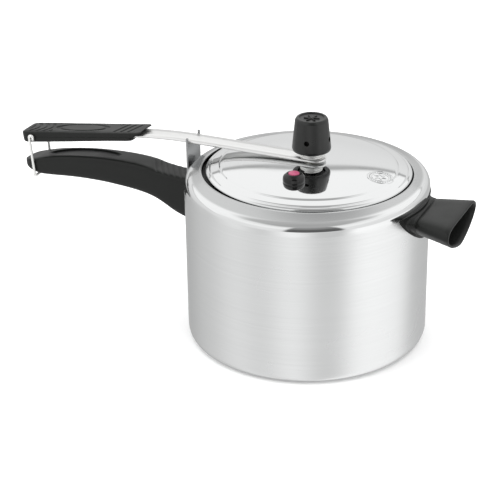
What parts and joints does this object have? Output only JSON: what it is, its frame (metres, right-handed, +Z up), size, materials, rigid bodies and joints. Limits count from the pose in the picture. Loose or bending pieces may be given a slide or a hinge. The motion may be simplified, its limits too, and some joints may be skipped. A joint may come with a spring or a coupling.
{
  "type": "stovetop pressure cooker",
  "caption": "Inside-closing stovetop pressure cooker: aluminium pot with a mirror lid hung from a latching spring lever, a steam regulator, a safety valve and two moulded handles.",
  "frame": {"origin": "centre of the pot's underside, on the surface it stands on", "axes": "+Z up, +X from the pot's axis to the short helper handle, -X along the long handle and the latching lever, +Y to the side away from the safety valve"},
  "size_m": [0.4126, 0.206, 0.1948],
  "materials": {
    "pot_aluminium": "spun aluminium, softly polished wall",
    "lid_aluminium": "pressed aluminium, mirror polished",
    "rivet_aluminium": "cold-headed aluminium",
    "bracket_steel": "stamped steel, bright",
    "bar_steel": "rolled spring steel, bright",
    "spring_steel": "drawn spring wire, bright",
    "screw_steel": "zinc-plated steel",
    "bail_wire": "zinc-plated drawn wire",
    "vent_metal": "turned and nickel-plated brass",
    "weight_steel": "turned steel",
    "handle_bakelite": "moulded phenolic, semi-gloss",
    "grip_bakelite": "moulded phenolic, semi-gloss",
    "cap_bakelite": "moulded phenolic, satin",
    "gasket_rubber": "moulded rubber",
    "valve_rubber": "moulded silicone rubber, glossy",
    "relief_red": "moulded plastic, gloss"
  },
  "bodies": {
    "pot": {"pot_body": "pot_aluminium", "fulcrum_bracket": "bracket_steel", "bracket_rivets": "rivet_aluminium", "long_handle": "handle_bakelite", "handle_screw": "screw_steel", "helper_stud": "rivet_aluminium", "helper_handle": "handle_bakelite", "helper_screw": "screw_steel"},
    "lever": {"lever_bar": "bar_steel", "grip_upper": "grip_bakelite", "grip_lower": "grip_bakelite", "grip_screws": "screw_steel", "bar_spring": "spring_steel"},
    "bail": {"bail": "bail_wire"},
    "lid": {"lid_disc": "lid_aluminium", "gasket": "gasket_rubber", "vent_tube": "vent_metal", "vent_seal": "gasket_rubber", "vent_nut": "vent_metal", "safety_plug": "valve_rubber"},
    "relief": {"relief_pin": "relief_red", "pin_clip": "spring_steel"},
    "needle": {"regulator_needle": "vent_metal"},
    "regulator": {"regulator_weight": "weight_steel", "regulator_cap": "cap_bakelite"}
  },
  "joints": [
    {"name": "lever_lift", "type": "hinge", "parent": "pot", "child": "lever", "pos_m": [-0.106, 0, 0.1587], "axis": [0, 1, 0], "range_deg": [0, 6]},
    {"name": "lid_level", "type": "hinge", "parent": "lever", "child": "lid", "pos_m": [0.004, 0, 0.1587], "axis": [0, 1, 0], "range_deg": [-6, 0]},
    {"name": "bail_swing", "type": "hinge", "parent": "lever", "child": "bail", "pos_m": [-0.26228, 0, 0.1374], "axis": [0, 1, 0], "range_deg": [0, 102]},
    {"name": "relief_pop", "type": "slide", "parent": "lid", "child": "relief", "axis": [0, 0, 1], "range_m": [0, 0.003]},
    {"name": "regulator_lift", "type": "slide", "parent": "lid", "child": "needle", "axis": [0, 0, 1], "range_m": [0, 0.025]},
    {"name": "regulator_spin", "type": "hinge", "parent": "needle", "child": "regulator", "pos_m": [0.004, 0, 0.18], "axis": [0, 0, 1], "continuous": true}
  ],
  "couplings": [
    {"joint": "lid_level", "follows": "lever_lift", "ratio": -1},
    {"joint": "bail_swing", "follows": "lever_lift", "ratio": 17}
  ]
}
